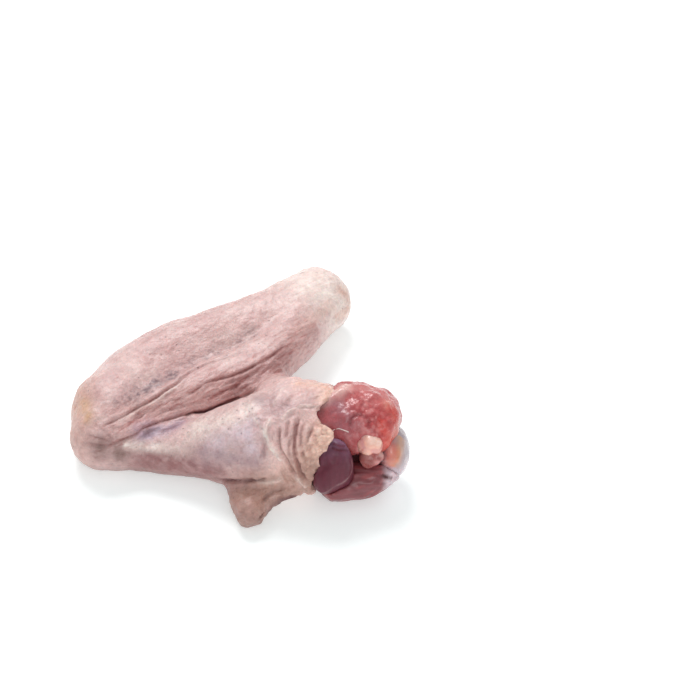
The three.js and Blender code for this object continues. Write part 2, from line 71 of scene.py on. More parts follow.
# Lines on the wing, as pixels of the photo. Each is cast onto the piece that shows it.
MARKS = {
    # the deep fold between the forearm and the upper arm, from the elbow to its open mouth, darkened with
    # painted shade
    "fold": [
        (100, 446), (107, 445), (113, 443), (127, 438), (137, 434), (141, 430.6), (151, 426.4),
        (162, 422.4), (173, 419), (184, 415.6), (195, 413.3), (204, 412.5), (210, 410), (218, 406.5),
        (229, 401.5), (240, 397.5), (251, 393.5), (262, 388.5),
    ],
    "fold_mouth": [
        (184, 415.6), (195, 413.3), (204, 412.5), (210, 410), (218, 406.5), (229, 401.5), (240, 397.5),
    ],
    # the long groove on top of the forearm, and the shorter ones nearer the fold, darkened with painted
    # shade; the lip beside the groove gets a painted highlight
    "groove": [
        (100, 428), (108, 424), (119, 419), (129, 413.3), (138, 408), (149, 402.2), (158, 396.7),
        (166, 390), (177, 383.3), (182, 378), (191, 371), (200, 367), (212, 362), (225, 358),
        (240, 352), (256, 347),
    ],
    "groove_lip": [
        (112, 424), (130, 415), (142, 408), (154, 401), (164, 394.5), (175, 387.5), (186, 379.5),
    ],
    "second": [
        (165, 404), (180, 399), (196, 391), (204, 384), (221, 378), (240, 372.2), (252, 367),
        (263, 362), (274, 354), (283, 346), (291, 339),
    ],
    "third": [(209, 382), (222, 378.5), (236, 374.5), (250, 368.5), (262, 361)],
    # the grey veined strip beside the groove
    "grey": [
        (120, 401), (131, 394.4), (144, 386.7), (153, 383.3), (166, 376.7), (177, 372.2), (191, 363.3),
        (205, 357), (222, 352), (240, 343), (252, 333),
    ],
    "grey_core": [(136, 396), (145, 389.5), (154, 384), (164, 380), (174, 375)],
    # the wrinkled band between groove and fold, and the fine lines along it, most of them darkened with
    # painted shade
    "band": [
        (125, 425), (150, 412), (175, 400), (200, 395), (225, 385), (250, 378), (275, 365), (292, 350),
        (305, 335),
    ],
    "band_low": [
        (128, 431.5), (140, 426), (150, 420), (160, 415.5), (170, 411), (180, 407), (190, 404),
        (200, 402), (212, 399), (225, 395), (238, 390), (250, 384), (262, 376), (274, 366),
    ],
    "band_red": [(235, 386), (248, 380), (262, 371), (275, 362), (285, 352)],
    "line_a": [(133, 421), (146, 414), (160, 407), (172, 402)],
    "line_b": [(146, 421), (160, 414), (174, 409), (188, 404.5), (202, 402)],
    "line_c": [(196, 399), (210, 396), (224, 391), (238, 385), (250, 378)],
    "line_d": [(215, 401), (228, 396), (240, 391), (252, 383)],
    "line_e": [(240, 347), (252, 341), (264, 336), (274, 330)],
    "line_f": [(268, 359), (279, 351), (288, 343)],
    # the upper arm: its crest, painted with a highlight, the flush below it, which is partly painted shade,
    # and the veined patches
    "crest_highlight": [(122, 444.4), (138, 445.6), (154, 447.5), (170, 448.5), (184, 449), (196, 449)],
    "web_blue": [(141, 434), (150, 431), (160, 430), (170, 428), (180, 424)],
    "web_pale": [(195, 430), (210, 425), (225, 420), (240, 414), (250, 408)],
    "web_flush": [(256, 397), (264, 396), (272, 397), (276, 401)],
    "flush": [(130, 460), (147, 459), (165, 462), (182, 465), (199, 468), (215, 470), (230, 471)],
    "violet": [(205, 454), (220, 456), (235, 457), (247, 460), (258, 466)],
    "pale_patch": [(244, 432), (249, 440), (252, 449)],
    "glaze": [(215, 440), (228, 436), (240, 430), (250, 422)],
    "elbow_yellow": [(84, 402), (87, 410), (88, 418)],
    "elbow_peach": [(76, 398), (77, 410)],
    # where shade is painted under the elbow
    "elbow_under": [(103, 451), (112, 453), (124, 456), (136, 459)],
    # a fan of creases at the elbow, darkened with painted shade
    "fan_a": [(84, 434), (93, 436), (103, 439), (112, 442)],
    "fan_b": [(82, 442), (92, 443), (103, 444), (112, 444)],
    "fan_c": [(88, 452), (98, 450), (108, 447.5)],
    "fan_d": [(90, 423), (98, 427), (106, 433), (113, 440)],
    "fan_e": [(108, 424), (112, 430), (116, 437)],
    # the wrist end
    "wrist": [(316, 288), (327, 289), (338, 294), (344, 301), (337, 307)],
    "wrist_edge": [(340, 290), (349, 300), (347, 310), (338, 318)],
    "wrist_lines": [(290, 322), (296, 312), (303, 303), (310, 293), (316, 285)],
    "wrist_shade": [(300, 330), (312, 320), (322, 312), (333, 308)],
    # the loose skin round the shoulder: raised folds with painted highlights, creases darkened with painted
    # shade, and fat by the cut edge
    "ridge_a": [
        (270, 416), (269, 423), (265.6, 430.6), (266.7, 438.3), (272, 447), (279, 455), (283, 461.7),
    ],
    "ridge_b": [(253.3, 409.4), (255.6, 419.4), (261, 428.3), (265.6, 437)],
    "ridge_c": [(253, 477), (263, 481.7), (274, 481.7), (283, 478.3)],
    "ridge_d": [(295.6, 472.8), (301, 481.7), (307.8, 487)],
    "ridge_e": [(320, 407.4), (305.6, 407.2), (294.4, 409.4), (286.7, 413.9), (281, 421.7)],
    "ridge_f": [(272, 407), (279, 396), (283.3, 386)],
    "ridge_g": [(294.4, 381.7), (292, 389.4), (288, 397), (281, 404)],
    "valley_a": [
        (299, 417), (296.7, 422.8), (295.6, 432.8), (294.4, 441.7), (294.4, 452.8), (296.7, 460.6),
        (299, 468.3), (302, 474), (309, 483.6),
    ],
    "valley_b": [(280, 426), (279, 437), (280, 448), (285, 457), (291, 467), (297, 477), (302, 484)],
    "valley_c": [(289, 420), (286.7, 430.6), (286.7, 439.4)],
    "valley_d": [(313, 425), (309, 435), (307, 444)],
    "valley_e": [(255.6, 413.5), (259.4, 426.2), (264, 434), (264.5, 446.6), (262, 460)],
    "valley_f": [(292, 434), (289, 446), (290, 456), (294, 464)],
    "valley_g": [(303, 424), (300.5, 436), (301, 448), (304, 458)],
    "top_line": [(294, 407.5), (303, 408.5), (312, 408), (322, 408)],
    "rim_fat": [(325, 425), (328, 433), (328, 441), (323, 448), (317, 455)],
    "rim_top": [(300, 383), (312, 384), (324, 387), (332, 392), (326, 398)],
    "pimples": [(321, 433), (317, 441.7), (312, 450.6), (308, 459.4), (308, 469.4)],
    "skin_bottom": [(262, 484), (278, 486), (292, 484), (304, 478), (312, 470)],
    "shoulder_shade": [(262, 400), (272, 407), (283, 408), (296, 405), (310, 402)],
    # the flap of skin in front, with painted shade under it and in its pit, and the line where it comes out
    # from under the arm, darkened with painted shade
    "arm_line": [(219, 480), (230, 480.5), (243, 481), (256, 480), (268, 479)],
    "flap_under": [(270, 511), (276, 506), (284, 502), (292, 500)],
    "flap_tip": [(243, 515), (250, 521), (258, 521)],
    "flap_mid": [(240, 490), (250, 500), (256, 508)],
    "flap_fold": [(262, 505), (266, 497), (274, 491), (286, 489)],
    "flap_pit": [(262, 514), (264, 516)],
    # the red muscle, its round lump with painted shade in the groove round it, its grains with painted
    # highlights, and its orange rim
    "red_lump": [(357, 421), (361, 424)],
    "lump_ring": [
        (352, 431), (350, 425), (352, 418.5), (358, 415.5), (365, 417.5), (369, 424), (367, 431),
    ],
    "red_grains": [(350, 408), (361, 410), (372, 416), (378, 423), (380, 431)],
    "red_rim": [(388, 405), (393, 413), (396, 423), (396, 434), (393, 443), (389, 452)],
    "red_deep": [(382, 424), (385, 432), (385, 441), (383, 450)],
    "red_left": [(327, 402), (333, 410), (338, 416), (341, 422)],
    "red_film": [(321, 405), (327, 400), (335, 395), (345, 389)],
    "red_top": [(345, 389), (356, 387), (367, 388), (378, 392), (385, 398)],
    # the dark muscle: the film along its edge and the bands on its neck
    "film": [
        (313, 490.6), (321, 490), (328, 488), (338, 484), (344.4, 480.6), (350, 474), (351.5, 466),
        (350.5, 458),
    ],
    "dent": [(323, 458), (322, 466), (321, 475), (320, 484)],
    "neck": [(331, 441), (339, 438), (347, 441)],
    "neck_low": [(333, 448.5), (338, 450), (343, 450.5), (348, 450)],
    "neck_high": [(334, 444.5), (339, 446), (344, 446.5), (348, 446)],
    # the lower muscle's crevice where the bone's lobes begin, darkened with painted shade
    "low_split": [(381, 474), (385, 477), (389, 477.5), (393, 479)],
    # the bone's end, its yellow edge and the crevice between its lobes, darkened with painted shade
    "bone_edge": [(401, 436), (401, 444), (399, 452), (396, 460), (391, 466)],
    "bone_lobe": [(388, 445), (391, 451), (392, 457), (389, 462)],
    "bone_split": [(383, 475), (388, 477.5), (392, 479)],
    # the white thread of tendon from the skin's edge to the meat
    "thread": [(331, 432), (334.5, 429.4), (339, 429), (344, 430.6), (348, 432)],
}

# The upper arm lies along x. Its axis is at this y and z, in millimetres, and the skin's cut across it is at
# an x that leans with the height and waves round the arm.
ARM_AXIS = (-33.7, 19)
SKIN_CUT = {"x": 30.2, "lean": 0.14, "wave": 1.3}
# The forearm's turn from x, and the directions along and across it.
FOREARM_TURN = math.radians(42)
FOREARM_WAY = np.array([math.cos(FOREARM_TURN), math.sin(FOREARM_TURN), 0])
FOREARM_ACROSS = np.array([-math.sin(FOREARM_TURN), math.cos(FOREARM_TURN), 0])


def shade(red, green, blue):
    """A colour from 0 to 255 a channel, as a shader's linear colour."""
    return tuple(((c / 255 + 0.055) / 1.055) ** 2.4 for c in (red, green, blue))


def colour(name, description, *picked):
    """A colour that the user can change."""
    return FloatVectorProperty(
        name=name, description=description, subtype="COLOR", size=3, min=0, max=1, default=shade(*picked)
    )


def length(name, description, millimetres):
    """A length that the user can change."""
    default = millimetres * MM
    return FloatProperty(
        name=name, description=description, unit="LENGTH", min=0, max=20 * MM, precision=5, default=default
    )


class WingSizes(PropertyGroup):
    """Sizes of the relief, in metres."""

    skin_detail: length("Skin detail", "Size of the skin's mesh faces", 0.55)
    meat_detail: length("Meat detail", "Size of the meat's mesh faces", 0.42)
    fold_depth: length("Fold depth", "Depth of the fold between forearm and upper arm", 1.0)
    groove_depth: length("Groove depth", "Depth of the groove along the forearm", 0.6)
    wrinkle_height: length("Wrinkle height", "Height of the fine wrinkles", 0.26)
    sleeve_fold: length("Shoulder folds", "Height of the loose folds round the shoulder", 0.8)
    goose_bump: length("Goose bumps", "Height of the bumps where feathers grew", 0.15)
    pimple: length("Fat pimples", "Height of the fat lumps by the cut edge", 1.0)
    meat_lump: length("Meat lumps", "Height of the lumps on the red muscle", 0.55)
    thread: length("Thread width", "Width of the tendon thread", 0.45)


class WingColours(PropertyGroup):
    """Colours of the skin, meat, fat and bone."""

    skin: colour("Skin", "The skin's own pink", 222, 186, 183)
    skin_pale: colour("Pale skin", "Lighter patches of the skin", 235, 207, 202)
    skin_deep: colour("Deep skin", "Pinker patches of the skin", 208, 164, 162)
    # also painted highlight along the crest, the raised folds, the groove's lip and the tops of fat lumps
    cream: colour("Cream skin", "The skin over the wrist", 255, 238, 230)
    ochre: colour("Ochre skin", "The spot at the tip of the elbow", 218, 172, 128)
    peach: colour("Peach skin", "The edges of elbow and wrist", 220, 172, 154)
    tan: colour("Tan skin", "The thick skin under the shoulder", 190, 148, 134)
    grey: colour("Grey veins", "The veined strip along the forearm", 130, 102, 108)
    mauve: colour("Mauve skin", "The wrinkled band beside the fold", 210, 164, 160)
    # painted shade: the dark in the creases, grooves and valleys, and in the gaps between the fat lumps
    line: colour("Brown lines", "The fine lines of the band and the shoulder", 146, 88, 84)
    blue: colour("Bluish skin", "The bluish skin in the crook of the elbow", 182, 160, 184)
    lilac: colour("Lilac skin", "The thin skin over the web", 232, 208, 216)
    # also painted shade along one crease of the shoulder
    violet: colour("Violet skin", "Dark meat seen through the upper arm's skin", 172, 140, 146)
    # also painted shade on the upper arm's lower side, towards the table
    flush: colour("Flush", "Red meat seen through the upper arm's skin", 152, 98, 98)
    # painted shade under the elbow and the flap, in the flap's fold and towards the table
    umber_shade: colour("Umber skin", "The shaded skin under the elbow and the flap", 140, 106, 100)
    sleeve: colour("Shoulder skin", "The loose skin round the shoulder", 255, 216, 207)
    # painted shade: the dark at the bottom of the fold, in the flap's pit and under it, and along the line
    # under the arm
    crease: colour("Crease", "The bottom of a fold", 96, 42, 46)
    # the flesh inside the skin, darkened as painted shade for the hollow that the meat fills
    shaded_lining: colour("Lining", "The flesh inside the skin", 96, 26, 28)
    rim_fat: colour("Rim fat", "The fat lumps at the skin's cut edge", 252, 208, 188)
    red_meat: colour("Red meat", "The large red muscle", 190, 84, 86)
    # also painted highlight on the tops of the red muscle's grains, and painted shade between the lobes of
    # the cream fat
    red_pale: colour("Pale red meat", "Paler patches of the red muscle", 222, 150, 148)
    red_purple: colour("Purplish red meat", "The smooth left part of the red muscle", 162, 98, 106)
    red_rim: colour("Orange rim", "The orange rim of the red muscle", 222, 66, 48)
    # also painted shade on the red muscle: between its grains, in the groove round its lump and towards its
    # bottom
    dark_meat: colour("Dark meat", "The purple muscle", 96, 18, 28)
    dark_pale: colour("Neck of the dark meat", "The purple muscle's paler neck", 142, 108, 134)
    brown_meat: colour("Brown meat", "The lower muscle", 138, 70, 76)
    film: colour("Film", "The thin white film on the dark muscle", 196, 160, 160)
    # also painted sheen on the back muscle
    bone: colour("Cartilage", "The bluish end of the bone", 184, 168, 174)
    bone_yellow: colour("Bone edge", "The yellow edge of the bone's end", 218, 166, 128)
    # dark red flesh with painted shade: on the bone's shaft in the hollow behind its end, in the crevices
    # and on the lower muscle's top
    shaded_flesh: colour("Bone root", "The red flesh round the bone behind its end", 84, 28, 30)
    fat: colour("Fat", "The cream lump of fat", 246, 190, 172)
    pink_fat: colour("Pink fat", "The pink lump of fat", 156, 78, 74)


def sizes():
    """The sizes as they are set in the scene."""
    return bpy.context.scene.wing_sizes


def colours():
    """The colours as they are set in the scene."""
    return bpy.context.scene.wing_colours


def lattice(cell, seed):
    """A fixed number from -1 to 1 for each cell of whole numbers."""
    mixed = cell[:, 0] * 73856093 ^ cell[:, 1] * 19349663 ^ cell[:, 2] * 83492791 ^ (seed * 7919 + 12345)
    mixed = (mixed ^ (mixed >> 13)) * 1274126177
    mixed = mixed ^ (mixed >> 16)
    return (mixed & 0xFFFF) / 32767.5 - 1


CORNERS = [np.array([i & 1, (i >> 1) & 1, (i >> 2) & 1]) for i in range(8)]


def noise(points, size, seed=0, octaves=1):
    """Smooth noise from about -1 to 1, whose lumps are size millimetres wide."""
    height = np.zeros(len(points))
    gain = 1.0
    for octave in range(octaves):
        place = points / size + 0.37 * (seed + octave)
        cell = np.floor(place).astype(np.int64)
        part = place - cell
        part = part * part * (3 - 2 * part)
        for corner in CORNERS:
            weight = np.prod(np.where(corner, part, 1 - part), axis=1)
            height += gain * weight * lattice(cell + corner, seed + 31 * octave)
        gain *= 0.5
        size = size * 0.5
    return height * 1.4


def domes(points, spacing, radius, seed):
    """Round bumps scattered about spacing apart, 1 at their tops and 0 beyond radius."""
    height = np.zeros(len(points))
    base = np.floor(points / spacing).astype(np.int64)
    for i in range(27):
        cell = base + np.array([i % 3 - 1, i // 3 % 3 - 1, i // 9 - 1])
        centre = np.stack([lattice(cell, seed + k) for k in range(3)], 1) * 0.38 + 0.5 + cell
        away = np.linalg.norm(points - centre * spacing, axis=1)
        own = radius * (1 + 0.35 * lattice(cell, seed + 3))
        height = np.maximum(height, np.clip(1 - (away / own) ** 2, 0, 1))
    return height


def crumple(points, size, seed, octaves=2):
    """Rounded folds parted by sharp creases, about 0.5 on the folds and -1 in the creases."""
    return 0.5 - 1.6 * np.abs(noise(points, size, seed, octaves))


def curve(points, step):
    """A smooth line through points, as places a step apart."""
    p = np.array(points, float)
    p = np.vstack([2 * p[0] - p[1], p, 2 * p[-1] - p[-2]])
    made = []
    for a, b, c, d in zip(p, p[1:], p[2:], p[3:]):
        count = max(2, int(np.linalg.norm(c - b) / step))
        for t in np.arange(count) / count:
            bend = (2 * a - 5 * b + 4 * c - d) * t**2 + (3 * b - a - 3 * c + d) * t**3
            made.append(0.5 * (2 * b + (c - a) * t + bend))
    made.append(p[-2])
    return np.array(made)


def bell(away, width):
    """1 on the line, fading with distance."""
    return np.exp(-((away / width) ** 2))


def crease(away, depth, width):
    """A sharp line with a swollen lip on both sides."""
    return depth * (0.4 * bell(away - 2.6 * width, 1.5 * width) - bell(away, width))


def ends(along, start, stop):
    """Fades a line in and out over shares of its length, or leaves its ends round where they are 0."""
    faded = np.ones(len(along))
    if start:
        faded *= np.clip(along / start, 0, 1)
    if stop:
        faded *= np.clip((1 - along) / stop, 0, 1)
    return faded


def ramp(value, low, high):
    """0 below low, 1 above high and smooth between."""
    t = np.clip((value - low) / (high - low), 0, 1)
    return t * t * (3 - 2 * t)


def photo_ray(u, v):
    """The direction in which a pixel of the photo is seen."""
    focal = PHOTO["pixels"] * PHOTO["lens"] / PHOTO["sensor"]
    sine, cosine = math.sin(PHOTO["rise"]), math.cos(PHOTO["rise"])
    ahead, up = Vector((0, cosine, -sine)), Vector((0, sine, cosine))
    half = PHOTO["pixels"] / 2
    return (ahead + Vector(((u - half) / focal, 0, 0)) + up * ((half - v) / focal)).normalized()


def cast(tree, u, v):
    """The place on a surface that a pixel of the photo shows, in millimetres."""
    ray = photo_ray(u, v)
    place = tree.ray_cast(EYE, ray)[0]
    if place is None:
        nearest = [tree.find_nearest(EYE + ray * step) for step in RAY_STEPS]
        place = min(nearest, key=lambda found: found[3])[0]
    return np.array(place) / MM


class Form:
    """A CAD node's shape as an even mesh that can be sculpted, in millimetres."""

    def __init__(self, node, name, detail, rounds):
        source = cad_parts[node]
        self.node = node
        self.obj = bpy.data.objects.new(name, source.data.copy())
        bpy.context.scene.collection.objects.link(self.obj)
        self.obj.data.materials.clear()
        remesh = self.obj.modifiers.new("even", "REMESH")
        remesh.mode = "VOXEL"
        remesh.voxel_size = detail
        graph = bpy.context.evaluated_depsgraph_get()
        mesh = bpy.data.meshes.new_from_object(self.obj.evaluated_get(graph))
        self.obj.modifiers.clear()
        self.obj.data = mesh
        mesh.name = name
        count = len(mesh.vertices)
        flat = np.zeros(count * 3)
        mesh.vertices.foreach_get("co", flat)
        self.points = flat.reshape(-1, 3) / MM
        pairs = np.zeros(len(mesh.edges) * 2, np.int64)
        mesh.edges.foreach_get("vertices", pairs)
        self.pairs = pairs.reshape(-1, 2)
        self.valence = np.bincount(self.pairs.ravel(), minlength=count)[:, None]
        self.masks = {}
        self.smooth(rounds)
        self.keep()

    def keep(self):
        """Remembers the shape, which the marks and the paint are laid on from then on."""
        self.base = self.points.copy()
        faces = [tuple(face.vertices) for face in self.obj.data.polygons]
        self.tree = BVHTree.FromPolygons([tuple(p) for p in self.base * MM], faces)
        self.measured = {}
        self.uneven = noise(self.base, 2.6, 84, 3)

    def averaged(self, values):
        """Each vertex's value averaged over its neighbours."""
        a, b = self.pairs[:, 0], self.pairs[:, 1]
        summed = np.zeros_like(values)
        for k in range(values.shape[1]):
            summed[:, k] = np.bincount(a, values[b, k], len(values))
            summed[:, k] += np.bincount(b, values[a, k], len(values))
        return summed / self.valence

    def smooth(self, rounds, share=0.5):
        """Evens the surface out, and grows it back after each round so that it doesn't shrink."""
        for _ in range(rounds):
            for force in (share, -share * 1.04):
                self.points = self.points + (self.averaged(self.points) - self.points) * force

    def round_off(self, rounds):
        """Wears the corners down, which also shrinks the surface a little."""
        for _ in range(rounds):
            self.points = self.points + (self.averaged(self.points) - self.points) * 0.5

    def normals(self):
        """Which way each point faces now."""
        mesh = self.obj.data
        mesh.vertices.foreach_set("co", (self.points * MM).ravel())
        mesh.update()
        flat = np.zeros(len(self.points) * 3)
        mesh.vertices.foreach_get("normal", flat)
        return flat.reshape(-1, 3)

    def push(self, heights):
        """Moves the surface out by heights, in millimetres."""
        self.points = self.points + self.normals() * heights[:, None]

    def mark(self, name):
        """How far each point of the kept shape is from a mark, and how far along it, from 0 to 1."""
        if name in self.measured:
            return self.measured[name]
        line = np.array([cast(self.tree, u, v) for u, v in curve(MARKS[name], MARK_STEP)])
        away = np.full(len(self.base), FAR)
        along = np.zeros(len(self.base))
        inside = (self.base > line.min(0) - MARK_REACH) & (self.base < line.max(0) + MARK_REACH)
        close = np.flatnonzero(np.all(inside, axis=1))
        some = self.base[close]
        nearest = np.full(len(some), FAR**2)
        for i, place in enumerate(line):
            square = ((some - place) ** 2).sum(1)
            nearer = square < nearest
            nearest[nearer] = square[nearer]
            along[close[nearer]] = i / (len(line) - 1)
        away[close] = np.sqrt(nearest)
        self.measured[name] = (away, along)
        return self.measured[name]

    def near(self, name, width, start=0, stop=0):
        """1 along a mark, fading over width."""
        away, along = self.mark(name)
        return bell(away, width) * ends(along, start, stop)

    def cut(self, name, depth, width, start=0, stop=0):
        """The heights of a crease along a mark."""
        away, along = self.mark(name)
        return crease(away, depth, width) * ends(along, start, stop)

    def prime(self, paint):
        """Covers the whole surface in one colour."""
        self.tint = np.tile(np.array(paint), (len(self.base), 1))

    def lay(self, paint, amount):
        """Lays a colour over the tint."""
        amount = np.clip(amount, 0, 1)[:, None]
        self.tint = self.tint + (np.array(paint) - self.tint) * amount

    def stroke(self, name, paint, width, strength, start=0, stop=0, break_up=0.3):
        """Paints along a mark, unevenly."""
        self.lay(paint, strength * self.near(name, width, start, stop) * (1 + break_up * self.uneven))

    def finish(self, material):
        """Writes shape, colours and masks to the mesh, lets it stand for its node and dresses it."""
        mesh = self.obj.data
        self.points[:, 2] = np.maximum(self.points[:, 2], FLOOR_GAP)
        self.normals()
        tint = mesh.color_attributes.new("tint", "FLOAT_COLOR", "POINT")
        rgba = np.concatenate([self.tint, np.ones((len(self.tint), 1))], 1)
        tint.data.foreach_set("color", rgba.astype(np.float32).ravel())
        for name, mask in self.masks.items():
            stored = mesh.attributes.new(name, "FLOAT", "POINT")
            stored.data.foreach_set("value", np.clip(mask, 0, 1).astype(np.float32))
        mesh.shade_smooth()
        mesh.materials.clear()
        mesh.materials.append(material)
        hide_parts(self.node)
        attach(self.obj, "root")
        return self.obj


def put(tree, kind, inputs=None, **settings):
    """Adds a shader node. An input's value is a number, a colour or another node's output."""
    made = tree.nodes.new("ShaderNode" + kind)
    for key, value in settings.items():
        setattr(made, key, value)
    for key, value in (inputs or {}).items():
        if isinstance(value, bpy.types.NodeSocket):
            tree.links.new(value, made.inputs[key])
        else:
            made.inputs[key].default_value = value
    return made


def calc(tree, operation, *values):
    """Arithmetic on numbers and outputs."""
    return put(tree, "Math", dict(enumerate(values)), operation=operation).outputs[0]


def spread(tree, value, low, high, start=0.0, end=1.0):
    """Maps a value from low..high to start..end, without going past them."""
    inputs = {"Value": value, "From Min": low, "From Max": high, "To Min": start, "To Max": end}
    return put(tree, "MapRange", inputs).outputs[0]


def blend_colour(tree, share, one, two, kind="MIX"):
    """Mixes two colours."""
    made = put(tree, "Mix", data_type="RGBA", blend_type=kind)
    for socket, value in ((made.inputs[0], share), (made.inputs[6], one), (made.inputs[7], two)):
        if isinstance(value, bpy.types.NodeSocket):
            tree.links.new(value, socket)
        else:
            socket.default_value = value
    return made.outputs[2]


def brighten(tree, colour_socket, amount):
    """Multiplies a colour by a number."""
    grey = put(tree, "CombineColor", {0: amount, 1: amount, 2: amount}).outputs[0]
    return blend_colour(tree, 1.0, colour_socket, grey, "MULTIPLY")


def total(tree, *parts):
    """Adds up outputs, each times its own weight."""
    made = calc(tree, "MULTIPLY", *parts[0])
    for value, weight in parts[1:]:
        made = calc(tree, "ADD", made, calc(tree, "MULTIPLY", value, weight))
    return made


def grain(tree, scale, detail=3.0, stretch=(1, 1, 1), turn=0.0, rough=0.55):
    """Noise fixed to the object, stretched along a direction."""
    place = put(tree, "TexCoord").outputs["Object"]
    turned = put(tree, "Mapping", {"Vector": place, "Rotation": (0, 0, turn)}).outputs[0]
    scaled = put(tree, "Mapping", {"Vector": turned, "Scale": stretch}).outputs[0]
    inputs = {"Vector": scaled, "Scale": scale, "Detail": detail, "Roughness": rough}
    return put(tree, "TexNoise", inputs).outputs["Fac"]


def cell_spots(tree, scale):
    """Distance to scattered spots, fixed to the object."""
    place = put(tree, "TexCoord").outputs["Object"]
    return put(tree, "TexVoronoi", {"Vector": place, "Scale": scale}).outputs["Distance"]


def layer(tree, name):
    """A value or colour that the sculpting left on the mesh."""
    return put(tree, "Attribute", attribute_name=name)


def start_material(name):
    """A new material, its nodes and its shader."""
    material = bpy.data.materials.new(name)
    material.use_nodes = True
    tree = material.node_tree
    shader = tree.nodes["Principled BSDF"]
    return material, tree, shader


def dress(tree, shader, base, rough, height, strength, distance):
    """Joins colour, roughness and bump to the shader."""
    tree.links.new(base, shader.inputs["Base Color"])
    tree.links.new(rough, shader.inputs["Roughness"])
    bump = put(tree, "Bump", {"Height": height, "Strength": strength, "Distance": distance})
    tree.links.new(bump.outputs[0], shader.inputs["Normal"])


def glow(shader, weight, radius, scale, coat, coat_rough):
    """Sets how far light goes in, and the film of moisture on top."""
    shader.inputs["Subsurface Weight"].default_value = weight
    shader.inputs["Subsurface Radius"].default_value = radius
    shader.inputs["Subsurface Scale"].default_value = scale
    shader.inputs["Coat Weight"].default_value = coat
    shader.inputs["Coat Roughness"].default_value = coat_rough


def skin_material():
    """Damp skin: tinted, mottled, pored, with fine lines along the forearm."""
    material, tree, shader = start_material("duck_skin")
    tint = layer(tree, "tint").outputs["Color"]
    plume = layer(tree, "plume").outputs["Fac"]
    band = layer(tree, "lines").outputs["Fac"]
    mottle = grain(tree, 430, 4)
    fine = grain(tree, 1250, 3)
    lines = grain(tree, 560, 3, stretch=(0.13, 1.2, 1.2), turn=-FOREARM_TURN, rough=0.6)
    pore = calc(tree, "MULTIPLY", spread(tree, cell_spots(tree, 330), 0.05, 0.14, 1, 0), plume)
    base = brighten(tree, tint, spread(tree, mottle, 0.3, 0.7, 0.88, 1.08))
    base = brighten(tree, base, spread(tree, fine, 0.32, 0.68, 0.92, 1.06))
    line_dark = calc(tree, "MULTIPLY", spread(tree, lines, 0.34, 0.52, 0.8, 0), band)
    base = blend_colour(tree, line_dark, base, (*colours().mauve[:], 1), "MULTIPLY")
    base = blend_colour(tree, calc(tree, "MULTIPLY", pore, 0.5), base, (*colours().grey[:], 1))
    rough = spread(tree, fine, 0.3, 0.7, 0.34, 0.56)
    streaks = calc(tree, "MULTIPLY", lines, band)
    height = total(tree, (fine, 0.9), (mottle, 0.6), (streaks, 1.5), (pore, -0.5))
    dress(tree, shader, base, rough, height, 0.9, 0.0005)
    glow(shader, 0.16, (1.0, 0.4, 0.28), 0.0008, 0.22, 0.22)
    return material


def meat_material(
    name, stretch=(1, 1, 1), turn=0.0, wet=0.5, lumps=0.5, streaks=0.5, rough=(0.16, 0.36), gloss=0.5
):
    """Wet muscle: tinted, with fibres along its length and a film of moisture."""
    material, tree, shader = start_material(name)
    tint = layer(tree, "tint").outputs["Color"]
    fibre = grain(tree, 620, 5, stretch=stretch, turn=turn)
    blot = grain(tree, 340, 4)
    fine = grain(tree, 1500, 3)
    base = brighten(tree, tint, spread(tree, fibre, 0.35, 0.65, 1 - 0.35 * streaks, 1 + 0.16 * streaks))
    spot = spread(tree, blot, 0.56, 0.74, 0, 0.3 * lumps)
    base = blend_colour(tree, spot, base, (*colours().red_pale[:], 1), "SCREEN")
    height = total(tree, (fibre, streaks), (blot, lumps * 1.6), (fine, 0.3))
    dress(tree, shader, base, spread(tree, fine, 0.3, 0.7, *rough), height, 0.6, 0.0004)
    glow(shader, 0.16, (1.0, 0.25, 0.2), 0.0012, wet, 0.1)
    shader.inputs["Specular IOR Level"].default_value = gloss
    return material


def soft_material(name, blotches, rough):
    """Fat or cartilage: pale, waxy and a little see-through, with paler and darker blotches."""
    material, tree, shader = start_material(name)
    tint = layer(tree, "tint").outputs["Color"]
    blot = grain(tree, 400, 4)
    fine = grain(tree, 1300, 3)
    base = brighten(tree, tint, spread(tree, blot, 0.3, 0.7, 1 - blotches, 1 + blotches * 0.5))
    height = total(tree, (blot, 1.0), (fine, 0.35))
    dress(tree, shader, base, spread(tree, fine, 0.3, 0.7, *rough), height, 0.45, 0.0003)
    glow(shader, 0.4, (1.0, 0.7, 0.55), 0.0022, 0.4, 0.12)
    return material


def sleeve_place(points):
    """How far points lie behind the skin's cut, their angle round the arm and distance from its axis."""
    y, z = points[:, 1] - ARM_AXIS[0], points[:, 2] - ARM_AXIS[1]
    around = np.arctan2(z, y)
    wave = SKIN_CUT["wave"] * (np.sin(3 * around + 0.6) + 0.5 * np.sin(7 * around))
    end = SKIN_CUT["x"] + SKIN_CUT["lean"] * z + wave
    return end - points[:, 0], around, np.hypot(y, z)


# Angles round the arm, in degrees, and how far the skin's edge stands forward there, in millimetres.
RIM_SHIFT = (
    (-180, -2.4), (-160, -2.0), (-140, -1.8), (-90, 0.5), (-40, -0.8), (0, 0.6), (40, 0.9), (62, 1.4),
    (80, 0.2), (92, -2.6), (103, -3.8), (114, -3.2), (122, -1.0), (132, 0.3), (140, -0.4), (150, -2.0),
    (157, -2.6), (166, -2.8), (174, -2.4), (180, -2.4),
)
